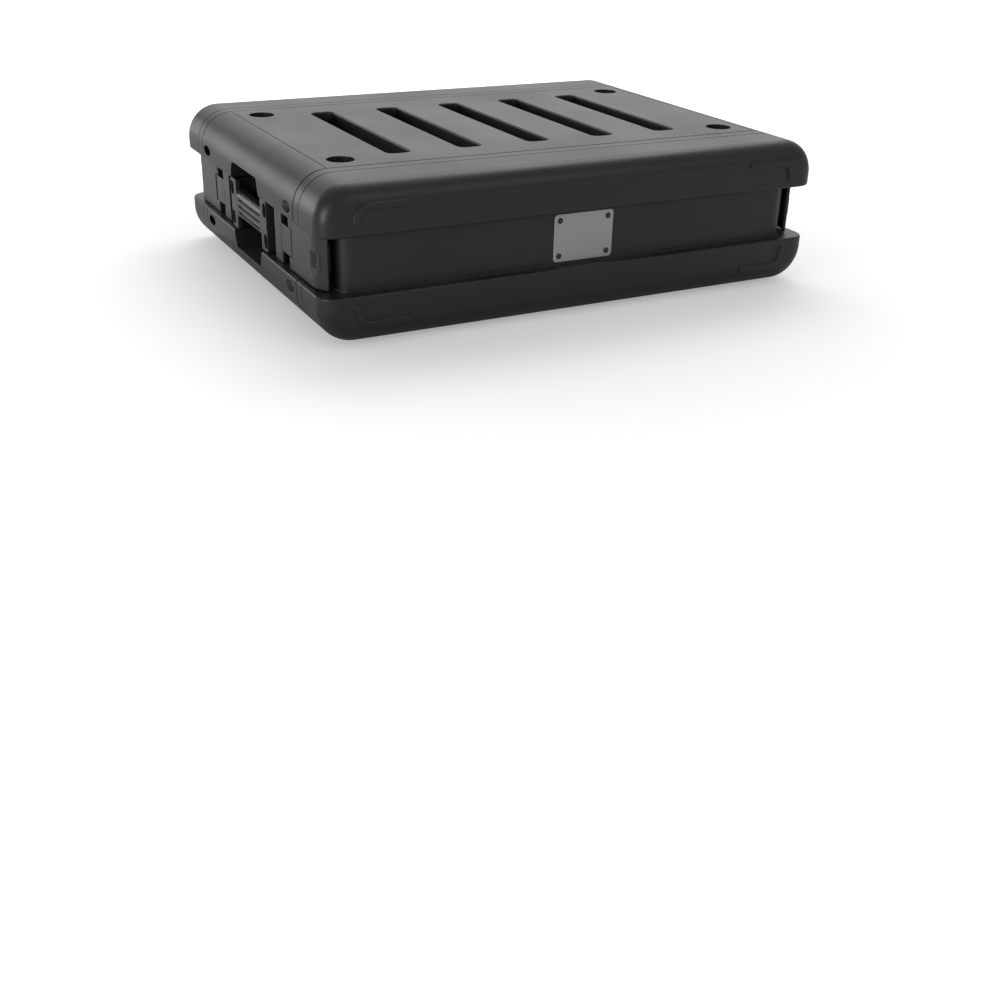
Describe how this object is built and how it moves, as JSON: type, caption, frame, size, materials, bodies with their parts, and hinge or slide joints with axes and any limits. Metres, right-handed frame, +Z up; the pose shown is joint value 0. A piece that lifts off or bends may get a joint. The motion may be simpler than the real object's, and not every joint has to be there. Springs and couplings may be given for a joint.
{
  "type": "rack case",
  "caption": "Low moulded rack equipment case with removable front and rear lids, draw latches, recessed side handles, bumper bands and stacking sockets.",
  "frame": {"origin": "on the ground at the middle of the case, under its rubber feet", "axes": "+X to the right along the wide front, +Y to the rear, +Z up"},
  "size_m": [0.572, 0.4418, 0.156],
  "materials": {
    "shell_plastic": "black moulded polyethylene with a fine matte texture",
    "latch_plastic": "black glass-filled nylon, satin to matte",
    "black_rubber": "black moulded rubber",
    "plate_metal": "brushed grey aluminium, bare",
    "screw_steel": "black oxide steel",
    "pin_steel": "plain steel pin",
    "rail_steel": "black powder-coated steel"
  },
  "bodies": {
    "case": {"top_panel": "shell_plastic", "bottom_panel": "shell_plastic", "rubber_feet": "black_rubber", "side_moulding_left": "shell_plastic", "side_moulding_right": "shell_plastic", "case_screws": "screw_steel", "rim_front": "shell_plastic", "rim_rear": "shell_plastic", "gasket_front": "black_rubber", "gasket_rear": "black_rubber", "handle_left": "latch_plastic", "handle_right": "latch_plastic", "handle_screws": "screw_steel", "rail_screws": "screw_steel", "latch_base_front_left": "latch_plastic", "link_pin_front_left": "pin_steel", "rack_rail_front_left": "rail_steel", "latch_base_front_right": "latch_plastic", "link_pin_front_right": "pin_steel", "rack_rail_front_right": "rail_steel", "latch_base_rear_left": "latch_plastic", "link_pin_rear_left": "pin_steel", "rack_rail_rear_left": "rail_steel", "latch_base_rear_right": "latch_plastic", "link_pin_rear_right": "pin_steel", "rack_rail_rear_right": "rail_steel"},
    "front_lid": {"front_lid": "shell_plastic", "name_plate": "plate_metal", "name_plate_rivets": "screw_steel"},
    "rear_lid": {"rear_lid": "shell_plastic"},
    "link_front_left": {"latch_link_front_left": "latch_plastic", "lever_pin_front_left": "pin_steel"},
    "lever_front_left": {"latch_lever_front_left": "latch_plastic"},
    "link_front_right": {"latch_link_front_right": "latch_plastic", "lever_pin_front_right": "pin_steel"},
    "lever_front_right": {"latch_lever_front_right": "latch_plastic"},
    "link_rear_left": {"latch_link_rear_left": "latch_plastic", "lever_pin_rear_left": "pin_steel"},
    "lever_rear_left": {"latch_lever_rear_left": "latch_plastic"},
    "link_rear_right": {"latch_link_rear_right": "latch_plastic", "lever_pin_rear_right": "pin_steel"},
    "lever_rear_right": {"latch_lever_rear_right": "latch_plastic"}
  },
  "joints": [
    {"name": "front_lid_slide", "type": "slide", "parent": "case", "child": "front_lid", "axis": [0, -1, 0], "range_m": [0, 0.06]},
    {"name": "rear_lid_slide", "type": "slide", "parent": "case", "child": "rear_lid", "axis": [0, 1, 0], "range_m": [0, 0.06]},
    {"name": "link_hinge_front_left", "type": "hinge", "parent": "case", "child": "link_front_left", "pos_m": [-0.27, -0.084, 0.08], "axis": [0, 0, -1], "range_deg": [0, 15]},
    {"name": "lever_hinge_front_left", "type": "hinge", "parent": "link_front_left", "child": "lever_front_left", "pos_m": [-0.2755, -0.121, 0.08], "axis": [0, 0, -1], "range_deg": [0, 90]},
    {"name": "link_hinge_front_right", "type": "hinge", "parent": "case", "child": "link_front_right", "pos_m": [0.27, -0.084, 0.08], "axis": [0, 0, 1], "range_deg": [0, 15]},
    {"name": "lever_hinge_front_right", "type": "hinge", "parent": "link_front_right", "child": "lever_front_right", "pos_m": [0.2755, -0.121, 0.08], "axis": [0, 0, 1], "range_deg": [0, 90]},
    {"name": "link_hinge_rear_left", "type": "hinge", "parent": "case", "child": "link_rear_left", "pos_m": [-0.27, 0.084, 0.08], "axis": [0, 0, 1], "range_deg": [0, 15]},
    {"name": "lever_hinge_rear_left", "type": "hinge", "parent": "link_rear_left", "child": "lever_rear_left", "pos_m": [-0.2755, 0.121, 0.08], "axis": [0, 0, 1], "range_deg": [0, 90]},
    {"name": "link_hinge_rear_right", "type": "hinge", "parent": "case", "child": "link_rear_right", "pos_m": [0.27, 0.084, 0.08], "axis": [0, 0, -1], "range_deg": [0, 15]},
    {"name": "lever_hinge_rear_right", "type": "hinge", "parent": "link_rear_right", "child": "lever_rear_right", "pos_m": [0.2755, 0.121, 0.08], "axis": [0, 0, -1], "range_deg": [0, 90]}
  ],
  "couplings": [
    {"joint": "link_hinge_front_left", "follows": "front_lid_slide", "rad_per_m": 4.36},
    {"joint": "lever_hinge_front_left", "follows": "front_lid_slide", "rad_per_m": 26.17},
    {"joint": "link_hinge_front_right", "follows": "front_lid_slide", "rad_per_m": 4.36},
    {"joint": "lever_hinge_front_right", "follows": "front_lid_slide", "rad_per_m": 26.17},
    {"joint": "link_hinge_rear_left", "follows": "rear_lid_slide", "rad_per_m": 4.36},
    {"joint": "lever_hinge_rear_left", "follows": "rear_lid_slide", "rad_per_m": 26.17},
    {"joint": "link_hinge_rear_right", "follows": "rear_lid_slide", "rad_per_m": 4.36},
    {"joint": "lever_hinge_rear_right", "follows": "rear_lid_slide", "rad_per_m": 26.17}
  ]
}
